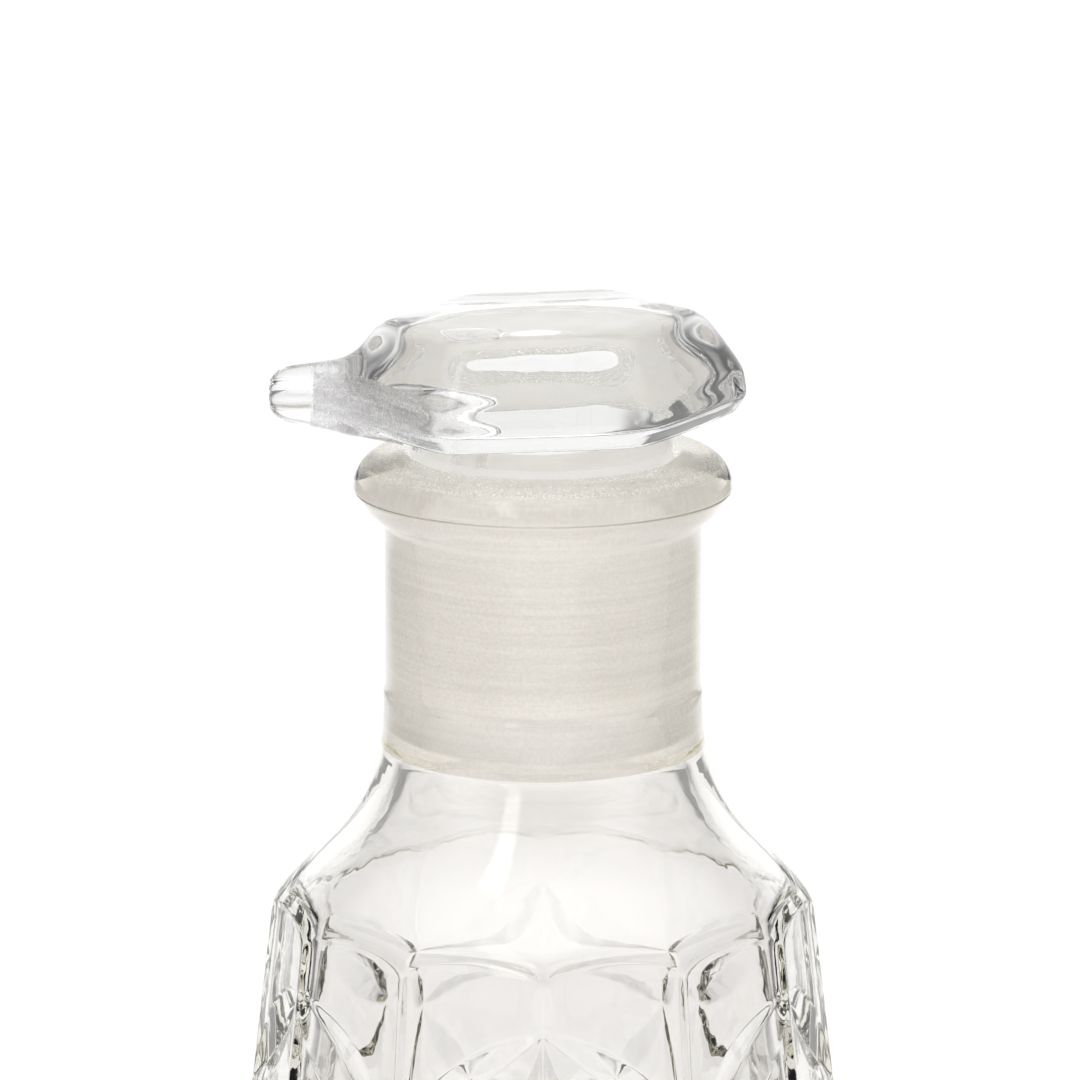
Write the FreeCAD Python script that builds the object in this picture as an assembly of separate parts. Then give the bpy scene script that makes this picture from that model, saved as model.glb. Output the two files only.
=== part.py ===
import FreeCAD, Part
import math
import os

from FreeCAD import Vector

# A small clear glass pouring bottle with a spouted stopper. Millimetres, +Z up.
# The origin is the centre of the bottle's foot. The beak of the stopper points along -X,
# and one vertical ridge of the body faces -Y.

# ---- driving dimensions: body ----
side_count = 12
first_ridge_angle = -90.0     # degrees
body_top_z = 60.6             # where a ridge of the body meets the shoulder
ridge_top_radius = 22.4       # axis to ridge at body_top_z
body_flare = 0.12             # growth of the ridge radius for each mm further down
outside_skin = 0.05           # how far the turned outside stands off the ridges
heel_radius = 3.0
foot_radius = 21.0            # inner edge of the ring that the bottle stands on
foot_recess = 1.2
foot_slope_run = 3.6          # width of the slope between the ring and the recess
corner_radius = 3.0           # rounding between shoulder and body

# ---- driving dimensions: leaf cuts ----
leaf_top_z = 56.6             # highest tips, on every second ridge
leaf_pitch = 11.0             # drop from one end of a leaf to the other
leaf_rows = 4
leaf_depth = 0.95
leaf_groove_angle = 140.0     # full angle of the V section
leaf_tip_gap = 0.25           # uncut glass between a leaf's tip and the ridge
leaf_wheel_rim = 3            # height of the wheel's V rim, in leaf depths

# ---- driving dimensions: shoulder and neck ----
flare_radius = 17.0           # concave sweep from the neck into the shoulder
flare_top_z = 77.5
flare_turn = 43.0             # degrees from vertical where the sweep becomes a straight cone
neck_radius = 12.9
neck_base_z = 79.0            # small mould step between shoulder and neck
mould_step = 0.1

# ---- driving dimensions: lip ----
lip_foot_z = 93.8
lip_foot_radius = 14.0
lip_top_z = 98.7
lip_crown_radius = 12.6       # where the rounded outside reaches the flat top
lip_rounding = 2.8            # from the flat top down to the moulded crease
mouth_radius = 10.55
mouth_chamfer = 0.35

# ---- driving dimensions: walls and ground joint ----
facet_wall = 1.9
ridge_wall = 2.3
neck_wall = 2.2               # below the ground bore, where the shoulder's sweep begins
shoulder_wall = 1.65          # where the sweep becomes a straight cone
shoulder_thinning = 2.8       # degrees between the outer and inner cones
floor_z = 5.5
floor_corner = 6.0
cavity_corner = 4.5
bore_end_z = 75.2
ledge_turn = 11.0             # degrees of the sweep hidden by the ledge where the bore ends
joint_taper = 0.035           # loss of radius for each mm further down
joint_clearance = 0.04        # radial gap between plug and bore

# ---- driving dimensions: stopper ----
plug_end_z = 79.1
plug_ground_top_z = 99.3
collar_radius = 10.6
collar_step = 0.15            # rise over which the ground plug widens to the collar
collar_fillet = 1.3
fillet_cover = 0.9            # how far the fillet runs up inside the head
head_foot_z = 101.4
head_wide_z = 102.8
girdle_top_z = 105.2
table_z = 110.2
head_foot_radius = 16.1       # the radii of the head run from axis to corner
head_wide_radius = 17.1
girdle_top_radius = 16.8
table_radius = 13.4
head_edge_round = 0.7
head_lean = 2.0               # degrees; the beak side sits lower

# ---- driving dimensions: beak, hollow, channel and vent ----
beak_tip_x = -22.4
beak_tip_z = 103.45
beak_tip_radius = 1.7
beak_tip_round = 0.8
beak_root_x = -10.0
beak_root_z = 103.15
beak_root_radius = 4.0
hollow_radius = 6.2
hollow_taper = 0.03
hollow_top_z = 96.0
hollow_dome_round = 3.4
channel_radius = 1.0
channel_start_x = -4.0
channel_end_x = -18.3
channel_end_z = 103.4
channel_fall = 12.0           # degrees down from the beak to the riser above the hollow
outlet_radius = 0.9
vent_width = 1.4
vent_depth = 0.8

# ---- helper lengths ----
overrun = 1.0                 # how far a cutting shape runs past the surface that it opens


def polygon(sides, radius, z, first_angle):
    points = []
    for i in range(sides + 1):
        angle = math.radians(first_angle + 360.0 * i / sides)
        points.append(Vector(radius * math.cos(angle), radius * math.sin(angle), z))
    return Part.makePolygon(points)


def revolve(edges):
    """A solid of revolution about Z from edges in the XZ plane that close on the axis."""
    face = Part.Face(Part.Wire(edges))
    return face.revolve(Vector(0, 0, 0), Vector(0, 0, 1), 360)


def at(radius, z):
    return Vector(radius, 0, z)


def line(a, b):
    return Part.makeLine(a, b)


def arc(a, middle, b):
    return Part.Arc(a, middle, b).toShape()


def rounded_corner(a, corner, b, radius):
    """Two lines from a to corner to b, with the corner rounded. Returns three edges."""
    to_a = (a - corner).normalize()
    to_b = (b - corner).normalize()
    half = to_a.getAngle(to_b) / 2
    run = radius / math.tan(half)
    start = corner + to_a * run
    end = corner + to_b * run
    bisector = (to_a + to_b).normalize()
    middle = corner + bisector * (radius / math.sin(half) - radius)
    return [line(a, start), arc(start, middle, end), line(end, b)]


def ridge_radius(z):
    return ridge_top_radius + body_flare * (body_top_z - z)


def flare(first_turn, first_wall, last_wall):
    """Start, middle and end of the shoulder sweep, set in by walls that change evenly."""
    centre = at(neck_radius + mould_step + flare_radius, flare_top_z)
    points = []
    for share in (0.0, 0.5, 1.0):
        turn = math.radians(first_turn + (flare_turn - first_turn) * share)
        radius = flare_radius + first_wall + (last_wall - first_wall) * share
        points.append(centre + at(-radius * math.cos(turn), -radius * math.sin(turn)))
    return points


def cone_meets_wall(start, turn, radius_at_top, slope):
    """Where a cone from start, at this turn from vertical, meets a wall of the body."""
    spread = math.tan(math.radians(turn))
    z = (start.z * spread + start.x - radius_at_top - slope * body_top_z) / (spread - slope)
    return at(radius_at_top + slope * (body_top_z - z), z)


def round_outside():
    """The turned outside of the bottle, a little wider than the ridges below the shoulder."""
    sweep = flare(0.0, 0.0, 0.0)
    wall_top_radius = ridge_top_radius + outside_skin
    corner = cone_meets_wall(sweep[2], flare_turn, wall_top_radius, body_flare)
    heel = at(ridge_radius(0) + outside_skin, 0)
    wall = rounded_corner(sweep[2], corner, heel, corner_radius)
    half_wall = wall[2].Vertexes[0].Point
    heel_edges = rounded_corner(half_wall, heel, at(foot_radius, 0), heel_radius)
    step = at(neck_radius + mould_step, neck_base_z)
    lip_foot = at(lip_foot_radius, lip_foot_z)
    lip_centre = at(lip_crown_radius, lip_top_z - lip_rounding)
    lip_crown = lip_centre + at(0, lip_rounding)
    lip_crease = lip_centre + at(lip_rounding, 0)
    diagonal = lip_rounding * math.sqrt(0.5)
    recess_edge = at(foot_radius - foot_slope_run, foot_recess)
    neck_foot = at(neck_radius, neck_base_z + mould_step)
    neck_head = at(neck_radius, lip_foot_z - (lip_foot_radius - neck_radius) / 2)
    edges = [
        line(at(0, foot_recess), recess_edge),
        line(recess_edge, at(foot_radius, 0)),
        *heel_edges,
        *wall[:2],
        arc(*sweep),
        line(sweep[0], step),
        line(step, neck_foot),
        line(neck_foot, neck_head),
        line(neck_head, lip_foot),
        line(lip_foot, lip_crease),
        arc(lip_crease, lip_centre + at(diagonal, diagonal), lip_crown),
        line(lip_crown, at(0, lip_top_z)),
        line(at(0, lip_top_z), at(0, foot_recess)),
    ]
    return revolve(Part.__sortEdges__(edges))


def facetted_block(wall, low_z, high_z):
    """A twelve-sided frustum whose flats are set in from the body's flats by wall."""
    wires = []
    inset = wall / math.cos(math.pi / side_count)
    for z in (low_z, high_z):
        wires.append(polygon(side_count, ridge_radius(z) - inset, z, first_ridge_angle))
    return Part.makeLoft(wires, True, True)


def ridge_point(index, z):
    angle = math.radians(first_ridge_angle + 360.0 * index / side_count)
    radius = ridge_radius(z)
    return Vector(radius * math.cos(angle), radius * math.sin(angle), z)


def leaf_wheel(a, b):
    """The cutting wheel whose rim sinks a leaf between two points of one flat."""
    middle = (a + b) * 0.5
    along = (b - a).normalize()
    facing = Vector(middle.x, middle.y, 0).normalize()
    tilt = math.atan(body_flare * math.cos(math.pi / side_count))
    outward = facing * math.cos(tilt) + Vector(0, 0, math.sin(tilt))
    axle = outward.cross(along).normalize()
    half_length = (b - a).Length / 2 - leaf_tip_gap
    wheel_radius = (half_length ** 2 + leaf_depth ** 2) / (2 * leaf_depth)
    centre = middle + outward * (wheel_radius - leaf_depth)
    rim_height = leaf_wheel_rim * leaf_depth
    half_width = rim_height * math.tan(math.radians(leaf_groove_angle / 2))
    inner = wheel_radius - rim_height
    near = Part.makeCone(inner, wheel_radius, half_width, centre - axle * half_width, axle)
    far = Part.makeCone(wheel_radius, inner, half_width, centre, axle)
    return near.fuse(far).removeSplitter()


def leaf_wheels():
    wheels = []
    for row in range(leaf_rows):
        high_z = leaf_top_z - row * leaf_pitch
        low_z = high_z - leaf_pitch
        for side in range(side_count):
            starts_high = (side + row) % 2 == 0
            left_z = high_z if starts_high else low_z
            right_z = low_z if starts_high else high_z
            wheels.append(leaf_wheel(ridge_point(side, left_z), ridge_point(side + 1, right_z)))
    return wheels


def bore_radius(z):
    return mouth_radius - joint_taper * (lip_top_z - z)


def cavity():
    """The space inside: a softened twelve-sided belly, a flared shoulder and a ground bore."""
    sweep = flare(ledge_turn, neck_wall, shoulder_wall)
    round_top_radius = ridge_top_radius - ridge_wall
    turn = flare_turn + shoulder_thinning
    corner = cone_meets_wall(sweep[2], turn, round_top_radius, body_flare)
    floor_edge = at(round_top_radius + body_flare * (body_top_z - floor_z), floor_z)
    wall = rounded_corner(sweep[2], corner, floor_edge, cavity_corner)
    half_wall = wall[2].Vertexes[0].Point
    floor_edges = rounded_corner(half_wall, floor_edge, at(0, floor_z), floor_corner)
    ledge = at(bore_radius(bore_end_z), bore_end_z)
    chamfer_z = lip_top_z - mouth_chamfer
    above = lip_top_z + overrun
    edges = [
        *floor_edges,
        *wall[:2],
        arc(*sweep),
        line(sweep[0], ledge),
        line(ledge, at(bore_radius(chamfer_z), chamfer_z)),
        line(at(bore_radius(chamfer_z), chamfer_z), at(mouth_radius + mouth_chamfer, lip_top_z)),
        line(at(mouth_radius + mouth_chamfer, lip_top_z), at(mouth_radius + mouth_chamfer, above)),
        line(at(mouth_radius + mouth_chamfer, above), at(0, above)),
        line(at(0, above), at(0, floor_z)),
    ]
    turned = revolve(Part.__sortEdges__(edges))
    belly = facetted_block(facet_wall, floor_z - overrun, neck_base_z + overrun)
    upper = Part.makeCylinder(neck_radius, lip_top_z, Vector(0, 0, flare_top_z - flare_radius / 2))
    return turned.common(belly.fuse(upper))


def make_bottle():
    outside = round_outside()
    belly = facetted_block(0.0, -overrun, body_top_z + 2 * corner_radius)
    upper = Part.makeCylinder(ridge_top_radius, lip_top_z, Vector(0, 0, body_top_z + corner_radius))
    blank = outside.common(belly.fuse(upper))
    return blank.cut([cavity(), *leaf_wheels()])


def hexagon(radius, z):
    return polygon(6, radius, z, 0)


def lean(shape):
    """Tips a shape of the head about the collar, so that the beak side sits lower."""
    shape.rotate(Vector(0, 0, head_foot_z), Vector(0, 1, 0), -head_lean)
    return shape


def make_head():
    wires = [
        hexagon(head_foot_radius, head_foot_z),
        hexagon(head_wide_radius, head_wide_z),
        hexagon(girdle_top_radius, girdle_top_z),
        hexagon(table_radius, table_z),
    ]
    head = Part.makeLoft(wires, True, True)
    head = head.makeFillet(head_edge_round, head.Edges)
    return lean(head)


def make_beak():
    """The beak: a tapering horn with a rounded tip that grows out of one corner of the head."""
    root = Vector(beak_root_x, 0, beak_root_z)
    tip = Vector(beak_tip_x, 0, beak_tip_z)
    axis = tip - root
    horn = Part.makeCone(beak_root_radius, beak_tip_radius, axis.Length, root, axis)
    tip_edges = [e for e in horn.Edges if e.BoundBox.XMax < beak_tip_x + beak_tip_radius]
    return horn.makeFillet(beak_tip_round, tip_edges)


def plug_radius(z):
    return bore_radius(z) - joint_clearance


def make_plug():
    """The turned part of the stopper: ground plug, clear collar and its fillet to the head."""
    collar_z = plug_ground_top_z + collar_step
    fillet_end = at(collar_radius + collar_fillet, head_foot_z + fillet_cover)
    fillet_start = at(collar_radius, fillet_end.z - collar_fillet)
    turn = collar_fillet * (1 - math.sqrt(0.5))
    edges = [
        line(at(0, plug_end_z), at(plug_radius(plug_end_z), plug_end_z)),
        line(at(plug_radius(plug_end_z), plug_end_z), at(plug_radius(lip_top_z), lip_top_z)),
        line(at(plug_radius(lip_top_z), lip_top_z), at(plug_radius(lip_top_z), collar_z)),
        line(at(plug_radius(lip_top_z), collar_z), fillet_start),
        arc(fillet_start, at(collar_radius + turn, fillet_end.z - turn), fillet_end),
        line(fillet_end, at(0, fillet_end.z)),
        line(at(0, fillet_end.z), at(0, plug_end_z)),
    ]
    return revolve(Part.__sortEdges__(edges))


def make_hollow():
    """The domed hollow of the plug, a riser above it, the channel to the beak and its outlet."""
    depth = hollow_top_z - plug_end_z
    top_radius = hollow_radius - hollow_taper * depth
    low_radius = hollow_radius + hollow_taper * overrun
    low = Vector(0, 0, plug_end_z - overrun)
    well = Part.makeCone(low_radius, top_radius, depth + overrun, low)
    top_edge = [e for e in well.Edges if e.BoundBox.ZMin > hollow_top_z - overrun]
    well = well.makeFillet(hollow_dome_round, top_edge)
    high_end = Vector(channel_end_x, 0, channel_end_z)
    drop = (channel_start_x - channel_end_x) * math.tan(math.radians(channel_fall))
    low_end = Vector(channel_start_x, 0, channel_end_z - drop)
    slope = high_end - low_end
    channel = Part.makeCylinder(channel_radius, slope.Length, low_end, slope)
    riser_foot = Vector(channel_start_x, 0, hollow_top_z - hollow_dome_round)
    riser = Part.makeCylinder(channel_radius, low_end.z - riser_foot.z, riser_foot)
    elbow = Part.makeSphere(channel_radius, low_end)
    reach = channel_end_x - beak_tip_x + overrun
    outlet_start = high_end + Vector(channel_radius / 2, 0, 0)
    outlet = Part.makeCylinder(outlet_radius, reach + overrun, outlet_start, Vector(-1, 0, 0))
    return well.fuse([riser, elbow, channel, outlet])


def make_vent():
    """A groove down the plug opposite the beak, which lets air in while liquid leaves."""
    height = plug_ground_top_z - plug_end_z + overrun
    corner = Vector(plug_radius(plug_end_z) - vent_depth, -vent_width / 2, plug_end_z - overrun)
    groove = Part.makeBox(vent_depth + overrun, vent_width, height, corner)
    groove.rotate(corner, Vector(0, 1, 0), math.degrees(math.atan(joint_taper)))
    return groove


def make_stopper():
    body = make_head().fuse([make_beak(), make_plug()])
    return body.cut([make_hollow(), make_vent()]).removeSplitter()


def save(node, shape):
    """Writes one node as one solid."""
    solids = shape.Solids
    if len(solids) != 1 or not shape.isValid():
        print(node, "has", len(solids), "solids; valid:", shape.isValid())
    solids[0].exportStep(os.path.join("parts", node + ".step"))


os.makedirs("parts", exist_ok=True)
save("bottle", make_bottle())
save("stopper", make_stopper())
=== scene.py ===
import math

import bmesh
import bpy
import numpy as np
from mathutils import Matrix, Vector


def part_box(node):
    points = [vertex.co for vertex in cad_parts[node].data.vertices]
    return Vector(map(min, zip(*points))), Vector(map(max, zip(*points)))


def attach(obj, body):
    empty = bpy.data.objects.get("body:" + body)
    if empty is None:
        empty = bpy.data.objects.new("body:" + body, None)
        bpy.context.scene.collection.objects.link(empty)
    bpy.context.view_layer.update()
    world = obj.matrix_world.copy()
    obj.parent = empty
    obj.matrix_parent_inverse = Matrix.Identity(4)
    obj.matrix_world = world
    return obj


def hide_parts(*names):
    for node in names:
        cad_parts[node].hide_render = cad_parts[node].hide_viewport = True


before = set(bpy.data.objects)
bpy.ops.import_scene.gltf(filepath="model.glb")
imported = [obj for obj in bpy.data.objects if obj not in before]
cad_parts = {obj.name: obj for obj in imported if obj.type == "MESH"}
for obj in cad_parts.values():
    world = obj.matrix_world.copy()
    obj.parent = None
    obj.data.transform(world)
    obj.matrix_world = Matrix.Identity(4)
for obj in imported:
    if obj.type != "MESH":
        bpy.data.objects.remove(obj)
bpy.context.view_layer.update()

# Lengths below are in millimetres and become metres when a mesh is made.
MM = 0.001

# ---- heights and sizes that come from the frame ----
_, bottle_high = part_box("bottle")
stopper_low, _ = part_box("stopper")
LIP_TOP = bottle_high.z / MM
PLUG_END = stopper_low.z / MM
BEAK_INSET = 0.1  # keeps the nib on the beak's tip inside the CAD box
BEAK_TIP = stopper_low.x / MM + BEAK_INSET

# ---- the bottle's body ----
SIDES = 12
HALF_SIDE = math.pi / SIDES
BODY_TOP = LIP_TOP - 38.1
RIDGE_TOP_RADIUS = 22.4
BODY_FLARE = 0.12
RIDGE_ROUNDING = 0.8
CORNER_ROUNDING = 3.0
ARCH_SOFTNESS = 0.12
HEEL_ROUNDING = 3.0
FOOT_RADIUS = 21.0
FOOT_RECESS = 1.2
FOOT_DOME = 0.3

# ---- the leaf cuts ----
LEAF_TOP = BODY_TOP - 4.0
LEAF_PITCH = 11.0
LEAF_ROWS = 4
LEAF_DEPTH = 0.95
LEAF_SLOPE = math.tan(math.radians(70.0))  # of half the V groove's angle
LEAF_EDGE_SOFTNESS = 0.10
LEAF_VALLEY_SOFTNESS = 0.10

# ---- shoulder, neck, lip and bore ----
SWEEP_RADIUS = 17.0
SWEEP_TOP = LIP_TOP - 21.2
SWEEP_TURN = math.radians(43.0)
CONE_ROW = LIP_TOP - 34.2  # a row of points on the straight part of the shoulder
NECK_RADIUS = 12.9
NECK_BASE = LIP_TOP - 19.7
MOULD_STEP = 0.16
LIP_FOOT = LIP_TOP - 4.9
LIP_FOOT_RADIUS = 14.0
LIP_CROWN_RADIUS = 12.6
LIP_ROUNDING = 2.8
MOUTH_RADIUS = 10.55
MOUTH_CHAMFER = 0.35
LIP_REFLECTION_DEPTH = 1.5  # how far below its top the lip's painted reflection reaches
LIP_REFLECTION_FADE = 1.0
LIP_REFLECTION_MOST = 0.85
CREASE_SHADE_BAND = (0.11, 0.27)  # depths below the lip's widest point of the painted shade in the crease
CREASE_SHADE_STRENGTH = 0.45
CREASE_SHADE_CHANGE = 0.2
LEDGE_MARGIN = 0.9  # how far the grinding ran past the bore's end, down and outwards
BORE_END = LIP_TOP - 23.5
LEDGE_TURN = math.radians(11.0)
BORE_GROUND_TOP = LIP_TOP - 0.6
JOINT_TAPER = 0.035

# ---- the inside of the bottle ----
FACET_WALL = 1.9
NECK_WALL = 2.2
SHOULDER_WALL = 1.65
SHOULDER_THINNING = math.radians(2.8)
INSIDE_FACETTING = 0.75
INSIDE_CORNER = 3.0
BELLY_OUTSET = 1.012  # the belly's round form, as a share of the flats' distance from the axis
BELLY_CORNER_SOFTNESS = 1.0
FLOOR = 5.5
FLOOR_ROUNDING = 6.0
FLOOR_DOME = 0.4

# ---- the bottle's grid of points ----
NEAR_RIDGE = [0.0, 0.008, 0.017, 0.035]  # shares of one flat's width
ACROSS_FLAT = np.linspace(0.07, 0.93, 19).tolist()
NEAR_LEAF_EDGE = [0.15, 0.35]
NEAR_LIMIT = 0.2  # the most of a gap that the closest rows may take up
FOOT_RINGS = (4.0, 9.0, 14.0)
HEEL_ROWS = 9
SWEEP_ROWS = 24
LIP_ROWS = 14
BORE_ROWS = 12
INNER_SWEEP_ROWS = 16
SHOULDER_ROWS = 16
BELLY_ROWS = 24
FLOOR_CORNER_ROWS = 8
WELD_DISTANCE = 0.02

# ---- unevenness: size and seed of the waves, then how far they push the surface ----
BOTTLE_WAVES = (14.0, 11)
OUTSIDE_SWAY = 0.02
INSIDE_SWAY = 0.035
STOPPER_WAVES = (6.0, 5)
STOPPER_SWAY = 0.06

# ---- the stopper ----
JOINT_CLEARANCE = 0.04
GROUND_TOP = LIP_TOP + 0.6
COLLAR_RADIUS = 10.6
COLLAR_RISE = 0.35  # over which the ground plug widens to the clear collar
PLUG_INTO_HEAD = 1.5  # how far the turned part runs up inside the head
PLUG_END_SOFTNESS = 0.5
HEAD_SIDES = 6
HEAD_FOOT = LIP_TOP + 2.7
HEAD_WIDE = LIP_TOP + 4.1
GIRDLE_TOP = LIP_TOP + 6.5
TABLE = LIP_TOP + 11.5
HEAD_FOOT_RADIUS = 16.1
HEAD_WIDE_RADIUS = 17.1
GIRDLE_TOP_RADIUS = 16.8
TABLE_RADIUS = 13.4
HEAD_LEAN = math.radians(2.0)
HEAD_CORNER_SOFTNESS = 0.6
HEAD_EDGE_SOFTNESS = 0.13
TABLE_EDGE_SOFTNESS = 0.7
TABLE_DISH = 0.22
TABLE_DISH_RADIUS = 11.0
PLUG_BLEND = 1.1
BEAK_BLEND = 1.3
BEAK_ROOT = -10.0
BEAK_ROOT_Z = LIP_TOP + 4.45
BEAK_TIP_Z = LIP_TOP + 4.75
BEAK_ROOT_RADIUS = 4.15
BEAK_TIP_RADIUS = 1.95
BEAK_TIP_SOFTNESS = 2.0
BEAK_ROOT_SOFTNESS = 0.5
NIB_RISE = 0.4
NIB_RADIUS = 0.35
NIB_BLEND = 0.3
MATT_RIM_RADIUS = 12.0
MATT_START = -5.5  # the rim's matt skin starts here, and grows towards the beak
MATT_FADE = 5.0
MATT_NEAR_TIP = -18.5
HOLLOW_RADIUS = 6.2
HOLLOW_TAPER = 0.03
HOLLOW_TOP = LIP_TOP - 2.7
HOLLOW_DOME = 3.0
CHANNEL_RADIUS = 1.0
CHANNEL_END = -18.3
CHANNEL_END_Z = LIP_TOP + 4.7
CHANNEL_SLOPE = math.tan(math.radians(12.0))
CHANNEL_START = -4.0
OUTLET_RADIUS = 0.9
OUTLET_BLEND = 0.2
CHANNEL_BLEND = 0.8
VENT_WIDTH = 1.4
VENT_DEPTH = 0.8
CUT_SOFTNESS = 0.3
VENT_SOFTNESS = 0.2
STOPPER_GRID = 0.25
SETTLING_ROUNDS = 2
RELAXING_ROUNDS = 2


# ---------------------------------------------------------------- shape helpers

def soft_min(a, b, softness):
    """The smaller of two lengths, with the crease between them rounded."""
    share = np.clip(0.5 + 0.5 * (b - a) / softness, 0.0, 1.0)
    return b * (1 - share) + a * share - softness * share * (1 - share)


def soft_max(a, b, softness):
    return -soft_min(-a, -b, softness)


def polygon_radius(angle, apothem, sides, rounding, first_corner):
    """Radius of a regular polygon with rounded corners, in the direction of angle."""
    half = math.pi / sides
    off = np.abs((angle - first_corner + half) % (2 * half) - half)
    centre = (apothem - rounding) / math.cos(half)
    tangent = np.arctan2(rounding * math.sin(half), centre + rounding * math.cos(half))
    flat = apothem / np.cos(half - off)
    round_part = np.maximum(rounding ** 2 - (centre * np.sin(off)) ** 2, 0.0)
    return np.where(off < tangent, centre * np.cos(off) + np.sqrt(round_part), flat)


def ripple(x, y, z, size, seed):
    """Slow, smooth unevenness between -1 and 1, as hot glass has."""
    rng = np.random.default_rng(seed)
    total = np.zeros(np.broadcast(x, y, z).shape)
    waves = 7
    for _ in range(waves):
        direction = rng.normal(size=3)
        direction *= 2 * math.pi / (size * rng.uniform(0.7, 1.6) * np.linalg.norm(direction))
        phase = rng.uniform(0, 2 * math.pi)
        total += np.sin(x * direction[0] + y * direction[1] + z * direction[2] + phase)
    return total / waves


def new_mesh_object(name, points, faces):
    mesh = bpy.data.meshes.new(name)
    mesh.from_pydata((points * MM).tolist(), [], faces)
    mesh.validate()
    mesh.update()
    for polygon in mesh.polygons:
        polygon.use_smooth = True
    obj = bpy.data.objects.new(name, mesh)
    bpy.context.scene.collection.objects.link(obj)
    return obj


def paint(obj, name, rule):
    """Gives each face the rule's value for its centre, in mm, for a material to pick up."""
    mark = obj.data.attributes.new(name, "FLOAT", "FACE")
    values = [float(rule(polygon.center / MM)) for polygon in obj.data.polygons]
    mark.data.foreach_set("value", values)


# ---------------------------------------------------------------- the bottle

def ridge_radius(z):
    return RIDGE_TOP_RADIUS + BODY_FLARE * (BODY_TOP - z)


def apothem(z):
    return ridge_radius(z) * math.cos(HALF_SIDE)


def column_shares():
    """Places across one flat, from 0 at its left ridge to 1 at the right, closer near ridges."""
    far = [1 - share for share in reversed(NEAR_RIDGE[1:])]
    return np.array(NEAR_RIDGE + ACROSS_FLAT + far)


SHARES = column_shares()
COLUMNS = len(SHARES) * SIDES
U = np.tile(SHARES, SIDES)
SIDE = np.repeat(np.arange(SIDES), len(SHARES))
FIRST_RIDGE = -math.pi / 2
LOCAL = np.arctan(math.tan(HALF_SIDE) * (2 * U - 1))
ANGLE = FIRST_RIDGE + (2 * SIDE + 1) * HALF_SIDE + LOCAL


def sweep_point(turn, wall):
    """(r, z) on the neck's concave sweep into the shoulder, set in by wall."""
    radius = SWEEP_RADIUS + wall
    centre_r = NECK_RADIUS + MOULD_STEP + SWEEP_RADIUS
    return centre_r - radius * math.cos(turn), SWEEP_TOP - radius * math.sin(turn)


def shoulder_radius(z):
    """Radius of the straight outer shoulder cone at height z."""
    end_r, end_z = sweep_point(SWEEP_TURN, 0.0)
    return end_r + (end_z - z) * math.tan(SWEEP_TURN)


def inner_shoulder_radius(z):
    """Radius of the inner cone, which comes closer to the outer one as it goes down."""
    end_r, end_z = sweep_point(SWEEP_TURN, SHOULDER_WALL)
    return end_r + (end_z - z) * math.tan(SWEEP_TURN + SHOULDER_THINNING)


def round_outside(z):
    """The turned outside near the corner: straight cone, then a rounding that runs outwards."""
    end_r, end_z = sweep_point(SWEEP_TURN, 0.0)
    spread = math.tan(SWEEP_TURN)
    meet = (end_z * spread + end_r - RIDGE_TOP_RADIUS - BODY_FLARE * BODY_TOP) / (
        spread - BODY_FLARE
    )
    turn = SWEEP_TURN - math.atan(BODY_FLARE)
    run = CORNER_ROUNDING * math.tan(turn / 2)
    start_z = meet + run * math.cos(SWEEP_TURN)
    start_r = shoulder_radius(start_z)
    centre_r = start_r - CORNER_ROUNDING * math.cos(SWEEP_TURN)
    centre_z = start_z - CORNER_ROUNDING * math.sin(SWEEP_TURN)
    drop = np.clip(z - centre_z, 0.0, CORNER_ROUNDING)
    rounded = centre_r + np.sqrt(CORNER_ROUNDING ** 2 - drop ** 2)
    rounded = rounded + 0.5 * np.maximum(centre_z - z, 0.0)
    return np.where(z > start_z, shoulder_radius(z), rounded)


class Leaf:
    """One row of leaves, described on each column of the bottle's grid."""

    def __init__(self, row):
        high = LEAF_TOP - row * LEAF_PITCH
        low = high - LEAF_PITCH
        self.middle = (high + low) / 2
        width = 2 * ridge_radius(self.middle) * math.sin(HALF_SIDE)
        falls = (SIDE + row) % 2 == 0
        rise = np.where(falls, -LEAF_PITCH, LEAF_PITCH) / width
        self.x = (U - 0.5) * width
        self.cos = 1 / np.sqrt(1 + rise ** 2)
        self.sin = rise * self.cos
        self.half_length = 0.5 * width / self.cos
        self.valley = self.middle + self.x * rise
        self.top = self.valley + self.reach(1.0)
        self.bottom = self.valley - self.reach(-1.0)

    def reach(self, side):
        """How far above (side 1) or below (side -1) its valley the leaf's edge runs."""
        along = self.x / self.cos
        a = LEAF_DEPTH * self.sin ** 2 / self.half_length ** 2
        b = side * 2 * along * LEAF_DEPTH * self.sin / self.half_length ** 2 + self.cos / LEAF_SLOPE
        c = LEAF_DEPTH * (along ** 2 / self.half_length ** 2 - 1)
        root = np.sqrt(np.maximum(b ** 2 - 4 * a * c, 0.0))
        return np.maximum((root - b) / (2 * a), 0.0)

    def depth(self, z):
        """Depth of this row's cuts below the flats at height z on each column."""
        up = z - self.middle
        along = self.x * self.cos + up * self.sin
        across = -self.x * self.sin + up * self.cos
        floor = LEAF_DEPTH * (1 - (along / self.half_length) ** 2)
        valley = np.sqrt(across ** 2 + LEAF_VALLEY_SOFTNESS ** 2) - LEAF_VALLEY_SOFTNESS
        cut = floor - valley / LEAF_SLOPE
        return np.maximum(soft_max(cut, np.zeros_like(cut), LEAF_EDGE_SOFTNESS), 0.0)


LEAVES = [Leaf(row) for row in range(LEAF_ROWS)]


def facet_radius(z):
    """Radius of the twelve cut flats at height z on every column."""
    cut = sum(leaf.depth(z) for leaf in LEAVES)
    return polygon_radius(ANGLE, apothem(z) - cut, SIDES, RIDGE_ROUNDING, FIRST_RIDGE)


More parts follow.
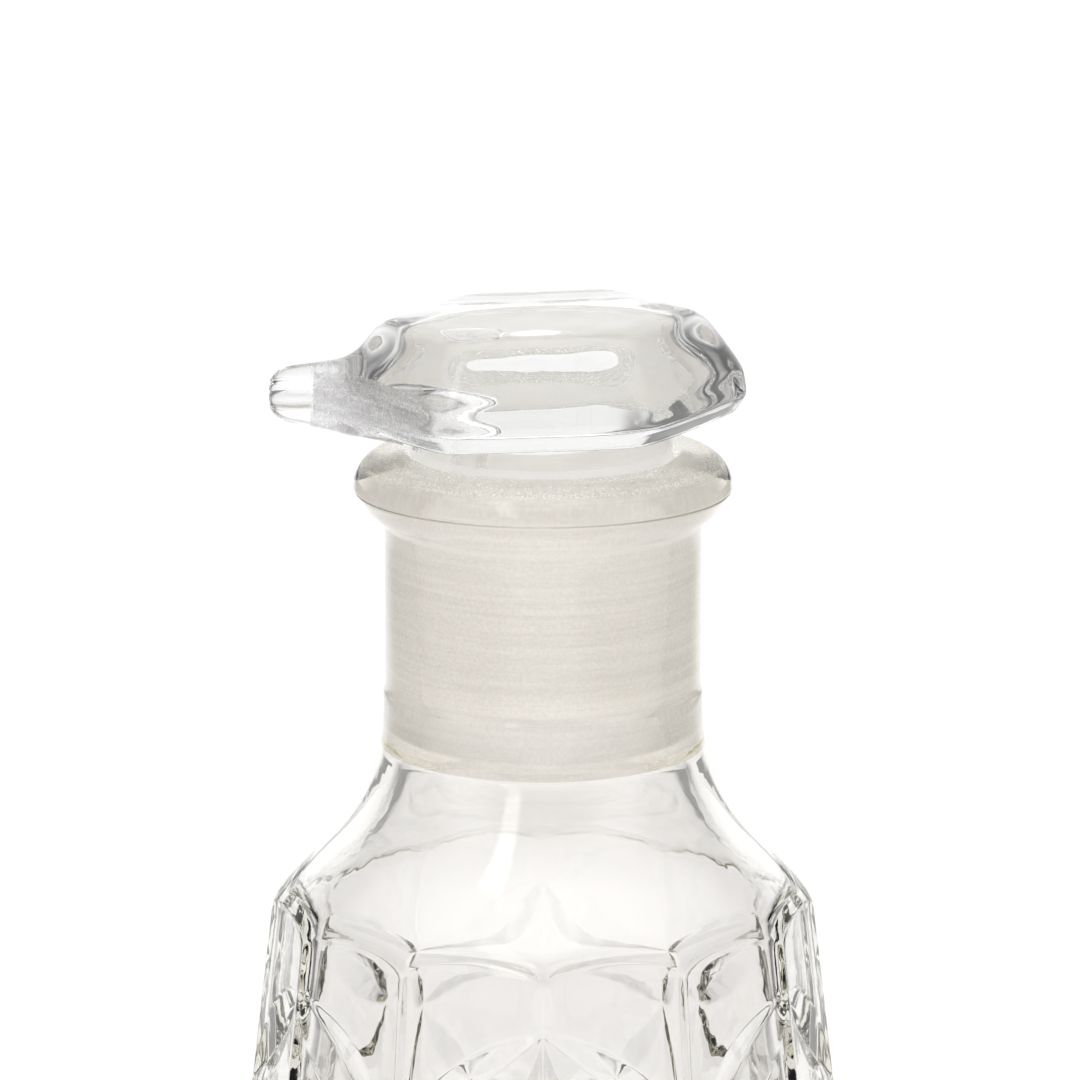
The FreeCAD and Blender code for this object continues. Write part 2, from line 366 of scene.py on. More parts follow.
def arch_heights():
    """Where each column crosses the arched line between shoulder and flat, by halving."""
    low = np.full(COLUMNS, BODY_TOP - 3.0)
    high = np.full(COLUMNS, BODY_TOP + 4.0)
    for _ in range(40):
        middle = (low + high) / 2
        flat = polygon_radius(ANGLE, apothem(middle), SIDES, RIDGE_ROUNDING, FIRST_RIDGE)
        inside = flat < round_outside(middle)
        low = np.where(inside, middle, low)
        high = np.where(inside, high, middle)
    return (low + high) / 2


def between(top, bottom, near, count):
    """Heights from top to just before bottom, with two rows close to either end."""
    length = top - bottom
    close = [np.minimum(gap, NEAR_LIMIT * length * gap / near[-1]) for gap in near]
    steps = [np.zeros(COLUMNS), *close]
    for share in np.linspace(0, 1, count + 2)[1:-1]:
        steps.append(close[-1] + share * (length - 2 * close[-1]))
    steps += [length - gap for gap in reversed(close)]
    return [top - step for step in steps]


def body_rows():
    """Heights of the grid rows on the body, top to bottom, that follow the leaves' edges."""
    near = NEAR_LEAF_EDGE
    above = arch_heights()
    rows = between(np.full(COLUMNS, BODY_TOP + CORNER_ROUNDING), above, near, 2)
    rows_above_leaf = 4
    for leaf in LEAVES:
        rows += between(above, leaf.top, near, rows_above_leaf)
        rows += between(leaf.top, leaf.valley, near, 1)
        rows += between(leaf.valley, leaf.bottom, near, 1)
        above = leaf.bottom
        rows_above_leaf = 2
    rows += between(above, np.full(COLUMNS, HEEL_ROUNDING), near, 6)
    return rows


def arc_points(centre, radius, start_deg, end_deg, count):
    """Points (r, z) on an arc, both ends included."""
    turns = np.radians(np.linspace(start_deg, end_deg, count))
    return [(centre[0] + radius * math.cos(t), centre[1] + radius * math.sin(t)) for t in turns]


def steps_from(radius, z, steps):
    """Points (r, z) at these small steps outwards and upwards from one point of an outline."""
    return [(radius + out, z + up) for out, up in steps]


def outer_neck_path():
    """(r, z) points from the shoulder up over the lip and down the ground bore to its end."""
    turn_deg = math.degrees(SWEEP_TURN)
    centre = (NECK_RADIUS + MOULD_STEP + SWEEP_RADIUS, SWEEP_TOP)
    crease_radius = LIP_CROWN_RADIUS + LIP_ROUNDING
    crease_z = LIP_TOP - LIP_ROUNDING
    chamfer_radius = MOUTH_RADIUS + MOUTH_CHAMFER
    mould_step = [(MOULD_STEP, -0.7), (MOULD_STEP, -0.15), (MOULD_STEP * 0.7, 0), (0, 0.2)]
    hollow_under_lip = [(0.08, -0.75), (0.35, -0.5), (0.75, -0.22)]
    lip_underside = [(0, 0), (0.55, 0.75)]
    crease = [(-0.35, -0.55), (-0.10, -0.26), (-0.20, -0.19), (-0.05, -0.11), (0.03, 0)]
    path = arc_points(centre, SWEEP_RADIUS, 180 + turn_deg, 180, SWEEP_ROWS)
    path += steps_from(NECK_RADIUS, NECK_BASE, mould_step)
    path += [(NECK_RADIUS, z) for z in np.linspace(NECK_BASE + 0.8, LIP_FOOT - 1.1, 8)]
    path += steps_from(NECK_RADIUS, LIP_FOOT, hollow_under_lip)
    path += steps_from(LIP_FOOT_RADIUS, LIP_FOOT, lip_underside)
    path += steps_from(crease_radius, crease_z, crease)
    path += arc_points((LIP_CROWN_RADIUS, crease_z), LIP_ROUNDING, 3, 90, LIP_ROWS)
    path += [(LIP_CROWN_RADIUS - 0.7, LIP_TOP)]
    path += steps_from(chamfer_radius, LIP_TOP, [(0.45, 0), (0.12, -0.04)])
    path += [(MOUTH_RADIUS + MOUTH_CHAMFER * 0.45, LIP_TOP - 0.2)]
    path += [(bore_radius(z), z) for z in np.linspace(LIP_TOP - 0.5, BORE_END + 0.15, BORE_ROWS)]
    return path


def bore_radius(z):
    return MOUTH_RADIUS - JOINT_TAPER * (LIP_TOP - z)


def inner_sweep_path():
    """(r, z) points from the bore's ledge down the inside of the shoulder's sweep."""
    sweep = []
    for share in np.linspace(0, 1, INNER_SWEEP_ROWS):
        turn = LEDGE_TURN + (SWEEP_TURN - LEDGE_TURN) * share
        sweep.append(sweep_point(turn, NECK_WALL + (SHOULDER_WALL - NECK_WALL) * share))
    first_r, first_z = sweep[0]
    edge_r = bore_radius(BORE_END)
    ledge = steps_from(edge_r, BORE_END, [(0.12, -0.03), (0.4, -0.2)])
    ledge += [((edge_r + first_r) / 2, (BORE_END + first_z) / 2)]
    ledge += steps_from(first_r, first_z, [(-0.2, 0.22)])
    return ledge + sweep


def belly_radius(z):
    """The cavity's wall on the body: between round and twelve-sided, with soft corners."""
    inset = apothem(z) - FACET_WALL
    facetted = polygon_radius(ANGLE, inset, SIDES, INSIDE_CORNER, FIRST_RIDGE)
    belly = INSIDE_FACETTING * facetted + (1 - INSIDE_FACETTING) * inset * BELLY_OUTSET
    shoulder = np.full(COLUMNS, inner_shoulder_radius(z))
    return soft_min(belly, shoulder, BELLY_CORNER_SOFTNESS)


def round_rows(path):
    """Rows of the grid that are circles, one for each (r, z) point of an outline."""
    ones = np.ones(COLUMNS)
    return [(radius * ones, z * ones) for radius, z in path]


def foot_rows():
    """The slightly domed recess, its slope, the ring that the bottle stands on, and the heel."""
    foot_slope = FOOT_RADIUS - 3 * FOOT_RECESS
    recess = []
    for radius in (*FOOT_RINGS, foot_slope - 0.4):
        recess.append((radius, FOOT_RECESS + FOOT_DOME * (1 - radius / foot_slope)))
    ring = steps_from(foot_slope, FOOT_RECESS, [(0.5, -0.08)])
    ring += steps_from(FOOT_RADIUS, 0.0, [(-1.6, 0.5), (-0.5, 0.12), (0.3, 0.0), (2.5, 0.0)])
    rows = round_rows(recess + ring)
    heel_radius = facet_radius(HEEL_ROUNDING)
    for turn in np.radians(np.linspace(90, 0, HEEL_ROWS)):
        radius = heel_radius - HEEL_ROUNDING * (1 - math.cos(turn))
        z = HEEL_ROUNDING - HEEL_ROUNDING * math.sin(turn)
        rows.append((radius, np.full(COLUMNS, z)))
    return rows


def belly_rows():
    """The cavity from the end of the shoulder's sweep down to the middle of its floor."""
    _, end_z = sweep_point(SWEEP_TURN, SHOULDER_WALL)
    floor_start = FLOOR + FLOOR_ROUNDING
    heights = np.linspace(end_z - 0.6, BODY_TOP - 6, SHOULDER_ROWS).tolist()
    heights += np.linspace(BODY_TOP - 7.5, floor_start, BELLY_ROWS).tolist()
    rows = [(belly_radius(z), np.full(COLUMNS, z)) for z in heights]
    floor_radius = belly_radius(floor_start)
    for turn in np.radians(np.linspace(11, 90, FLOOR_CORNER_ROWS)):
        radius = floor_radius - FLOOR_ROUNDING * (1 - math.cos(turn))
        z = floor_start - FLOOR_ROUNDING * math.sin(turn)
        rows.append((radius, np.full(COLUMNS, z)))
    for share in (0.75, 0.5, 0.25):
        radius = (floor_radius - FLOOR_ROUNDING) * share
        z = FLOOR + FLOOR_DOME * (1 - share)
        rows.append((radius, np.full(COLUMNS, z)))
    return rows


def bottle_rows():
    """Every row of the bottle's grid as (radii, heights), from the foot's centre to the floor's."""
    rows = foot_rows()
    for z in reversed(body_rows()[:-1]):
        rows.append((soft_min(facet_radius(z), round_outside(z), ARCH_SOFTNESS), z))
    rows += round_rows([(shoulder_radius(CONE_ROW), CONE_ROW)])
    rows += round_rows(outer_neck_path())
    rows += round_rows(inner_sweep_path())
    return rows + belly_rows()


def grid_faces(row_count, column_count, base):
    """Quads between neighbouring rows of a closed ring, and fans to the two end points."""
    faces = []
    for i in range(row_count - 1):
        for j in range(column_count):
            k = (j + 1) % column_count
            a, b = i * column_count, (i + 1) * column_count
            faces.append((a + j, a + k, b + k, b + j))
    last = (row_count - 1) * column_count
    for j in range(column_count):
        k = (j + 1) % column_count
        faces.append((base, k, j))
        faces.append((base + 1, last + j, last + k))
    return faces


def weld(obj, distance):
    """Joins points that meet at the leaves' tips."""
    bm = bmesh.new()
    bm.from_mesh(obj.data)
    bmesh.ops.remove_doubles(bm, verts=bm.verts, dist=distance * MM)
    bmesh.ops.dissolve_degenerate(bm, edges=bm.edges, dist=distance * MM * 0.5)
    bmesh.ops.recalc_face_normals(bm, faces=bm.faces)
    bm.to_mesh(obj.data)
    bm.free()


def build_bottle():
    rows = bottle_rows()
    radii = np.array([r for r, _ in rows])
    heights = np.array([z for _, z in rows])
    x = radii * np.cos(ANGLE)
    y = radii * np.sin(ANGLE)
    lip_row = np.argmax(heights.mean(axis=1))
    inside = np.arange(len(rows))[:, None] > lip_row
    sway = np.where(inside, INSIDE_SWAY, OUTSIDE_SWAY)
    below_neck = np.clip((BORE_END - 1.5 - heights) / 4.0, 0, 1)
    above_foot = np.clip((heights - 1.0) / 3.0, 0, 1)
    calm = below_neck * above_foot
    push = 1 + sway * calm * ripple(x, y, heights, *BOTTLE_WAVES) / np.maximum(radii, 1.0)
    points = np.stack([x * push, y * push, heights], axis=2).reshape(-1, 3)
    ends = np.array([[0, 0, FOOT_RECESS + FOOT_DOME], [0, 0, FLOOR + FLOOR_DOME]])
    faces = grid_faces(len(rows), COLUMNS, len(points))
    obj = new_mesh_object("bottle_glass", np.vstack([points, ends]), faces)
    weld(obj, WELD_DISTANCE)
    paint(obj, "ground", on_ground_bore)
    paint(obj, "painted_lip_reflection", on_lip_reflection)
    paint(obj, "painted_crease_shade", on_lip_crease_shade)
    return obj


def from_axis(centre):
    return math.hypot(centre.x, centre.y)


def on_ground_bore(centre):
    in_bore = from_axis(centre) < MOUTH_RADIUS + LEDGE_MARGIN
    return in_bore and BORE_END - LEDGE_MARGIN < centre.z < BORE_GROUND_TOP


def on_lip_reflection(centre):
    """How strong the painted reflection on the lip's top is, from 0 well below its top to nearly 1
    on the top.
    """
    if from_axis(centre) < MOUTH_RADIUS + 0.2:
        return 0.0
    height = (centre.z - LIP_TOP + LIP_REFLECTION_DEPTH) / LIP_REFLECTION_FADE
    return LIP_REFLECTION_MOST * min(max(height, 0.0), 1.0)


def on_lip_crease_shade(centre):
    """Painted shade: a fine dark line in the crease under the lip's widest point, fainter in
    places.
    """
    low, high = CREASE_SHADE_BAND
    depth = LIP_TOP - LIP_ROUNDING - centre.z
    if not low < depth < high or from_axis(centre) < LIP_CROWN_RADIUS:
        return 0.0
    turn = math.atan2(centre.y, centre.x) - FIRST_RIDGE
    return CREASE_SHADE_STRENGTH - CREASE_SHADE_CHANGE * math.cos(3 * turn)


# ---------------------------------------------------------------- the stopper

def log_max(values, softness):
    """The largest of several distances, with every crease between them rounded."""
    peak = np.maximum.reduce(values)
    total = sum(np.exp((v - peak) / softness) for v in values)
    return peak + softness * np.log(total)


def slanted_plane(radial, z, inner, outer):
    """Distance outside the plane through two (apothem, height) points of a six-sided form."""
    run, rise = outer[0] - inner[0], outer[1] - inner[1]
    length = math.hypot(run, rise)
    return (radial - inner[0]) * (-rise / length) + (z - inner[1]) * (run / length)


def head_distance(x, y, z):
    """Signed distance to the six-sided head, with its lean taken out first."""
    up = z - HEAD_FOOT
    hx = x * math.cos(HEAD_LEAN) + up * math.sin(HEAD_LEAN)
    hz = -x * math.sin(HEAD_LEAN) + up * math.cos(HEAD_LEAN) + HEAD_FOOT
    flat = math.cos(math.pi / HEAD_SIDES)
    table = (TABLE_RADIUS * flat, TABLE)
    girdle = (GIRDLE_TOP_RADIUS * flat, GIRDLE_TOP)
    wide = (HEAD_WIDE_RADIUS * flat, HEAD_WIDE)
    foot = (HEAD_FOOT_RADIUS * flat, HEAD_FOOT)
    radius = np.sqrt(hx ** 2 + y ** 2)
    dish = TABLE_DISH * np.clip(1 - (radius / TABLE_DISH_RADIUS) ** 2, 0, 1)
    crown, belt, under = [], [], []
    for face in range(HEAD_SIDES):
        turn = math.radians(360 / HEAD_SIDES * (face + 0.5))
        radial = hx * math.cos(turn) + y * math.sin(turn)
        crown.append(slanted_plane(radial, hz, table, girdle))
        belt.append(slanted_plane(radial, hz, girdle, wide))
        under.append(slanted_plane(radial, hz, wide, foot))
    crown, belt, under = (log_max(ring, HEAD_CORNER_SOFTNESS) for ring in (crown, belt, under))
    top = log_max([hz - TABLE + dish, crown], TABLE_EDGE_SOFTNESS)
    return log_max([top, belt, under, HEAD_FOOT - hz], HEAD_EDGE_SOFTNESS)


def plug_distance(x, y, z):
    """The turned ground plug and the clear collar above it."""
    radius = np.sqrt(x ** 2 + y ** 2)
    plug = bore_radius(np.minimum(z, LIP_TOP)) - JOINT_CLEARANCE
    rise = np.clip((z - GROUND_TOP) / COLLAR_RISE, 0, 1)
    side = radius - (plug + (COLLAR_RADIUS - plug) * rise)
    ends = np.maximum(PLUG_END - z, z - HEAD_FOOT - PLUG_INTO_HEAD)
    return soft_max(side, ends, PLUG_END_SOFTNESS)


def beak_distance(x, y, z):
    """A tapering round horn with a blunt tip and a tiny nib on its upper edge."""
    root = np.array([BEAK_ROOT, 0.0, BEAK_ROOT_Z])
    tip = np.array([BEAK_TIP, 0.0, BEAK_TIP_Z])
    length = np.linalg.norm(tip - root)
    axis = (tip - root) / length
    along = (x - root[0]) * axis[0] + (z - root[2]) * axis[2]
    across = np.sqrt(
        (x - root[0] - along * axis[0]) ** 2 + y ** 2 + (z - root[2] - along * axis[2]) ** 2
    )
    radius = BEAK_ROOT_RADIUS + (BEAK_TIP_RADIUS - BEAK_ROOT_RADIUS) * along / length
    blunt = soft_max(across - radius, along - length, BEAK_TIP_SOFTNESS)
    horn = soft_max(blunt, -along, BEAK_ROOT_SOFTNESS)
    nib_z = tip[2] + NIB_RISE
    nib = np.sqrt((x - tip[0]) ** 2 + y ** 2 + (z - nib_z) ** 2) - NIB_RADIUS
    return soft_min(horn, nib, NIB_BLEND)


def channel_axis_height(x):
    """Height of the pouring channel's centre line: falls from the beak towards the hollow."""
    return CHANNEL_END_Z - np.maximum(x - CHANNEL_END, 0.0) * CHANNEL_SLOPE


def hollow_distance(x, y, z):
    """The space inside: a domed hollow, a riser, the channel to the beak and a finer outlet."""
    radius = np.sqrt(x ** 2 + y ** 2)
    wall = HOLLOW_RADIUS - HOLLOW_TAPER * (z - PLUG_END)
    well = soft_max(radius - wall, z - HOLLOW_TOP, HOLLOW_DOME)
    across = np.sqrt(y ** 2 + (z - channel_axis_height(x)) ** 2)
    drilled = np.maximum.reduce([across - CHANNEL_RADIUS, CHANNEL_END - x, x - CHANNEL_START])
    outlet = np.maximum(across - OUTLET_RADIUS, x - CHANNEL_END - 1.0)
    low_end = channel_axis_height(np.float64(CHANNEL_START))
    spot = np.sqrt((x - CHANNEL_START) ** 2 + y ** 2)
    elbow = np.sqrt(spot ** 2 + (z - low_end) ** 2) - CHANNEL_RADIUS
    riser = np.maximum.reduce([spot - CHANNEL_RADIUS, z - low_end, HOLLOW_TOP - HOLLOW_DOME - z])
    channel = np.minimum.reduce([drilled, riser, elbow])
    return soft_min(well, soft_min(channel, outlet, OUTLET_BLEND), CHANNEL_BLEND)


def vent_distance(x, y, z):
    """The groove down the plug opposite the beak."""
    bottom = bore_radius(z) - JOINT_CLEARANCE - VENT_DEPTH
    return np.maximum.reduce([np.abs(y) - VENT_WIDTH / 2, bottom - x, z - GROUND_TOP - 0.3])


def stopper_distance(x, y, z):
    """Signed distance to the whole stopper: negative inside the glass."""
    glass = soft_min(head_distance(x, y, z), plug_distance(x, y, z), PLUG_BLEND)
    glass = soft_min(glass, beak_distance(x, y, z), BEAK_BLEND)
    moulded = np.clip((z - GROUND_TOP - 0.5) / 1.5, 0, 1)
    glass = glass + STOPPER_SWAY * ripple(x, y, z, *STOPPER_WAVES) * moulded
    glass = soft_max(glass, -hollow_distance(x, y, z), CUT_SOFTNESS)
    return soft_max(glass, -vent_distance(x, y, z), VENT_SOFTNESS)


def surface_net(values, origin, step):
    """Points and quads of the zero surface of a field sampled on a regular grid."""
    inside = values < 0
    shape = np.array(values.shape)
    cells = shape - 1
    total = np.zeros((*cells, 3))
    count = np.zeros(cells)
    corners = [(i, j, k) for i in (0, 1) for j in (0, 1) for k in (0, 1)]

    def corner_slice(array, corner):
        spans = [slice(c, c + n) for c, n in zip(corner, cells)]
        return array[tuple(spans)]

    for start in corners:
        for axis in range(3):
            if start[axis] == 1:
                continue
            end = tuple(1 if a == axis else start[a] for a in range(3))
            first, second = corner_slice(values, start), corner_slice(values, end)
            crosses = corner_slice(inside, start) != corner_slice(inside, end)
            gap = np.where(crosses, first - second, 1.0)
            share = np.where(crosses, first / gap, 0.0)
            for a in range(3):
                place = start[a] + (share if a == axis else 0.0)
                total[..., a] += np.where(crosses, place, 0.0)
            count += crosses
    used = count > 0
    index = np.full(cells, -1, dtype=np.int64)
    index[used] = np.arange(used.sum())
    places = np.argwhere(used) + total[used] / count[used][:, None]
    points = origin + places * step
    quads = []
    for axis in range(3):
        others = [a for a in range(3) if a != axis]
        low = [slice(1, -1)] * 3
        low[axis] = slice(0, -1)
        high = list(low)
        high[axis] = slice(1, None)
        first = inside[tuple(low)]
        second = inside[tuple(high)]
        offset = np.array([1, 1, 1])
        offset[axis] = 0
        for found, flip in ((first & ~second, False), (~first & second, True)):
            where = np.argwhere(found) + offset
            ring = []
            for da, db in ((-1, -1), (0, -1), (0, 0), (-1, 0)):
                cell = where.copy()
                cell[:, others[0]] += da
                cell[:, others[1]] += db
                ring.append(index[cell[:, 0], cell[:, 1], cell[:, 2]])
            if flip != (axis == 1):
                ring.reverse()
            quads.append(np.stack(ring, axis=1))
    return points, np.vstack(quads)


def gradient(distance, points):
    """The direction in which a distance grows fastest, at each point."""
    step = 0.01
    result = np.zeros_like(points)
    for axis in range(3):
        shift = np.zeros(3)
        shift[axis] = step
        ahead = distance(*(points + shift).T)
        behind = distance(*(points - shift).T)
        result[:, axis] = (ahead - behind) / (2 * step)
    return result


def settle(distance, points, rounds):
    """Moves points onto the true surface of a distance."""
    longest_move = 0.2
    weakest_slope = 0.2
    for _ in range(rounds):
        slope = gradient(distance, points)
        strength = np.maximum((slope ** 2).sum(axis=1), weakest_slope)
        move = distance(*points.T)[:, None] * slope / strength[:, None]
        points = points - np.clip(move, -longest_move, longest_move)
    return points


def relax(points, quads, share):
    """Evens out the spacing of points along the surface."""
    total = np.zeros_like(points)
    count = np.zeros(len(points))
    for a in range(4):
        b = (a + 1) % 4
        for here, there in ((quads[:, a], quads[:, b]), (quads[:, b], quads[:, a])):
            np.add.at(total, here, points[there])
            np.add.at(count, here, 1)
    return points + share * (total / count[:, None] - points)


def build_stopper():
    margin = 3 * STOPPER_GRID
    low = np.array([BEAK_TIP - 1.0, -HEAD_WIDE_RADIUS, PLUG_END]) - margin
    high = np.array([HEAD_WIDE_RADIUS, HEAD_WIDE_RADIUS, TABLE + 1.0]) + margin
    axes = [np.arange(a, b, STOPPER_GRID) for a, b in zip(low, high)]
    x, y, z = np.meshgrid(*axes, indexing="ij")
    points, quads = surface_net(stopper_distance(x, y, z), low, STOPPER_GRID)
    points = settle(stopper_distance, points, SETTLING_ROUNDS)
    for _ in range(RELAXING_ROUNDS):
        points = relax(points, quads, 0.5)
        points = settle(stopper_distance, points, SETTLING_ROUNDS)
    obj = new_mesh_object("stopper_glass", points, quads.tolist())
    paint(obj, "ground", on_ground_plug)
    paint(obj, "drilled", inside_channel)
    paint(obj, "moulded", on_moulded_skin)
    return obj


def on_ground_plug(centre):
    return centre.z < GROUND_TOP and from_axis(centre) > HOLLOW_RADIUS + 1.0


def on_moulded_skin(centre):
    """How matt the mould left the head's rim beside the beak, from 0 to 1."""
    on_rim = from_axis(centre) >= MATT_RIM_RADIUS and HEAD_FOOT < centre.z < GIRDLE_TOP + 0.3
    if not on_rim or centre.x < MATT_NEAR_TIP:
        return 0.0
    return min(max((MATT_START - centre.x) / MATT_FADE, 0.0), 1.0)


def inside_channel(centre):
    """True for a face of the rough channel between the hollow and the fine outlet."""
    across = math.hypot(centre.y, centre.z - channel_axis_height(centre.x))
    return CHANNEL_END - 0.4 < centre.x < CHANNEL_START - 1.0 and across < CHANNEL_RADIUS + 0.2


# ---------------------------------------------------------------- materials

GLASS_IOR = 1.52
ORANGE_PEEL = 0.35  # strength of the fire-polished skin's bumps
ORANGE_PEEL_HEIGHT = 0.00006
SMEAR_SCALE = 0.35  # of the bumps' noise, so that smears are broader than bumps
SMEAR_SPAN = (0.45, 0.75, 0.0, 0.04)
RING_STRETCH = (60, 60, 2600)  # noise squeezed hard along the axis leaves rings
GRIT_SCALE = 4500.0
ROUGHNESS_REACH = (0.7, 1.3)  # the part of rings plus grit that changes the roughness
TONE_REACH = (0.75, 1.25)
SCRATCH_STRENGTH = 0.5
SCATTER_BACK = 0.25  # share of the matt layer's light that goes back instead of through


def node(tree, kind, **inputs):
    """A shader node with some of its inputs set."""
    made = tree.nodes.new(kind)
    for name, value in inputs.items():
        made.inputs[name.replace("_", " ")].default_value = value
    return made


def linked_noise(tree, place, stretch=(1, 1, 1), **settings):
    """Noise in the object's own space, squeezed along some axes."""
    squeeze = node(tree, "ShaderNodeMapping")
    squeeze.inputs["Scale"].default_value = stretch
    noise = node(tree, "ShaderNodeTexNoise", **settings)
    tree.links.new(place.outputs["Object"], squeeze.inputs["Vector"])
    tree.links.new(squeeze.outputs[0], noise.inputs["Vector"])
    return noise.outputs["Fac"]


def linked_range(tree, source, low, high, start, end, blend="LINEAR"):
    """An output that turns source's low..high into start..end."""
    made = node(tree, "ShaderNodeMapRange", From_Min=low, From_Max=high, To_Min=start, To_Max=end)
    made.interpolation_type = blend
    tree.links.new(source, made.inputs["Value"])
    return made.outputs[0]


def smooth_range(tree, source, span):
    """The same with soft ends, for a span of (low, high, start, end)."""
    return linked_range(tree, source, *span, blend="SMOOTHSTEP")


def linked_math(tree, operation, *sources):
    """An output that joins others by a sum, a difference, a product or the larger of them."""
    made = tree.nodes.new("ShaderNodeMath")
    made.operation = operation
    for source, place in zip(sources, made.inputs):
        tree.links.new(source, place)
    return made.outputs[0]


def linked_bump(tree, source, strength, height):
    bump = node(tree, "ShaderNodeBump", Strength=strength, Distance=height)
    tree.links.new(source, bump.inputs["Height"])
    return bump.outputs[0]


def glass_shader(tree, colour):
    glass = node(tree, "ShaderNodeBsdfPrincipled", IOR=GLASS_IOR, Transmission_Weight=1.0)
    glass.inputs["Base Color"].default_value = (*colour, 1)
    return glass


def clear_glass(tree, place, colour, polish_scale):
    """Fire-polished glass: a slight orange-peel, and a trace of smears in its gloss."""
    glass = glass_shader(tree, colour)
    uneven = linked_noise(tree, place, Scale=polish_scale, Detail=2.0)
    bumps = linked_bump(tree, uneven, ORANGE_PEEL, ORANGE_PEEL_HEIGHT)
    tree.links.new(bumps, glass.inputs["Normal"])
    smear = linked_noise(tree, place, Scale=polish_scale * SMEAR_SCALE, Detail=4.0)
    tree.links.new(linked_range(tree, smear, *SMEAR_SPAN), glass.inputs["Roughness"])
    return glass.outputs[0]


def matt_glass(tree, place, look):
    """Ground or matt glass, and the painted reflection and painted shade on the lip: fine rings
    round the axis, with speckle between them.
    """
    rings = linked_noise(tree, place, RING_STRETCH, Scale=1.0, Detail=3.0, Roughness=0.7)
    grit = linked_noise(tree, place, Scale=GRIT_SCALE, Detail=2.0)
    pattern = linked_math(tree, "ADD", rings, grit)
    normal = linked_bump(tree, pattern, SCRATCH_STRENGTH, look["bump"])
    glass = glass_shader(tree, look["colour"])
    rough = linked_range(tree, pattern, *ROUGHNESS_REACH, *look["roughness"])
    tree.links.new(rough, glass.inputs["Roughness"])
    tree.links.new(normal, glass.inputs["Normal"])
    tone = tree.nodes.new("ShaderNodeMix")
    tone.data_type = "RGBA"
    tone.inputs[6].default_value = (*look["dark"], 1)
    tone.inputs[7].default_value = (*look["light"], 1)
    tree.links.new(linked_range(tree, pattern, *TONE_REACH, 0.0, 1.0), tone.inputs[0])
    through = tree.nodes.new("ShaderNodeBsdfTranslucent")
    back = tree.nodes.new("ShaderNodeBsdfDiffuse")
    for shader in (through, back):
        tree.links.new(tone.outputs[2], shader.inputs["Color"])
        tree.links.new(normal, shader.inputs["Normal"])
    scatter = mixed(tree, SCATTER_BACK, through.outputs[0], back.outputs[0])
    return mixed(tree, look["scatter"], glass.outputs[0], scatter)


def mixed(tree, share, first, second):
    """A mix of two shaders; share is a number or another node's output."""
    mix = tree.nodes.new("ShaderNodeMixShader")
    if isinstance(share, float):
        mix.inputs[0].default_value = share
    else:
        tree.links.new(share, mix.inputs[0])
    tree.links.new(first, mix.inputs[1])
    tree.links.new(second, mix.inputs[2])
    return mix.outputs[0]


def glass_material(name, colour, polish_scale, patches, tint, shadow):
    """One glass for a whole piece, with its matt patches, so that its body tint stays whole."""
    material = bpy.data.materials.new(name)
    material.use_nodes = True
    tree = material.node_tree
    tree.nodes.clear()
    place = tree.nodes.new("ShaderNodeTexCoord")
    surface = clear_glass(tree, place, colour, polish_scale)
    for patch, look in patches.items():
        mask = tree.nodes.new("ShaderNodeAttribute")
        mask.attribute_name = patch
        surface = mixed(tree, mask.outputs["Fac"], surface, matt_glass(tree, place, look))
    clear = node(tree, "ShaderNodeBsdfTransparent", Color=(*shadow, 1))
    path = tree.nodes.new("ShaderNodeLightPath")
    surface = mixed(tree, path.outputs["Is Shadow Ray"], surface, clear.outputs[0])
    tint_colour, density = tint
    volume = node(tree, "ShaderNodeVolumeAbsorption", Color=(*tint_colour, 1), Density=density)
    out = tree.nodes.new("ShaderNodeOutputMaterial")
    tree.links.new(surface, out.inputs["Surface"])
    tree.links.new(volume.outputs[0], out.inputs["Volume"])
    return material


BORE_LOOK = {
    "colour": (1.0, 0.995, 0.985),
    "roughness": (0.35, 0.55),
    "bump": 0.00001,
    "dark": (0.785, 0.76, 0.735),
    "light": (0.94, 0.915, 0.895),
    "scatter": 0.7,
}
PLUG_LOOK = {
    "colour": (1.0, 0.995, 0.99),
    "roughness": (0.4, 0.55),
    "bump": 0.00001,
    "dark": (0.93, 0.92, 0.90),
    "light": (1.0, 0.99, 0.97),
    "scatter": 0.6,
}
# Painted reflection: the lip's top is painted whiter and matt, with olive speckle.
LIP_REFLECTION_LOOK = {
    "colour": (1.0, 1.0, 0.99),
    "roughness": (0.10, 0.35),
    "bump": 0.00003,
    "dark": (0.66, 0.65, 0.58),
    "light": (1.0, 1.0, 0.97),
    "scatter": 0.5,
}
# Painted shade: a dark line in the crease under the lip.
CREASE_SHADE_LOOK = {
    "colour": (0.7, 0.67, 0.55),
    "roughness": (0.3, 0.6),
    "bump": 0.00003,
    "dark": (0.10, 0.09, 0.05),
    "light": (0.30, 0.27, 0.19),
    "scatter": 0.85,
}
CHANNEL_LOOK = {
    "colour": (1.0, 1.0, 1.0),
    "roughness": (0.05, 0.25),
    "bump": 0.00005,
    "dark": (0.7, 0.7, 0.72),
    "light": (0.95, 0.95, 0.96),
    "scatter": 0.1,
}
MOULDED_LOOK = {
    "colour": (1.0, 1.0, 1.0),
    "roughness": (0.1, 0.35),
    "bump": 0.00006,
    "dark": (0.40, 0.39, 0.40),
    "light": (1.0, 0.99, 1.0),
    "scatter": 0.42,
}


def bottle_material():
    return glass_material(
        name="pressed_bottle_glass",
        colour=(0.945, 0.935, 0.930),
        polish_scale=350.0,
        patches={"ground": BORE_LOOK, "painted_lip_reflection": LIP_REFLECTION_LOOK, "painted_crease_shade": CREASE_SHADE_LOOK},
        tint=((0.62, 0.56, 0.20), 13.0),
        shadow=(0.94, 0.94, 0.92),
    )


def stopper_material():
    return glass_material(
        name="pressed_stopper_glass",
        colour=(0.955, 0.953, 0.952),
        polish_scale=300.0,
        patches={"ground": PLUG_LOOK, "drilled": CHANNEL_LOOK, "moulded": MOULDED_LOOK},
        tint=((0.50, 0.50, 0.48), 8.0),
        shadow=(0.93, 0.93, 0.94),
    )
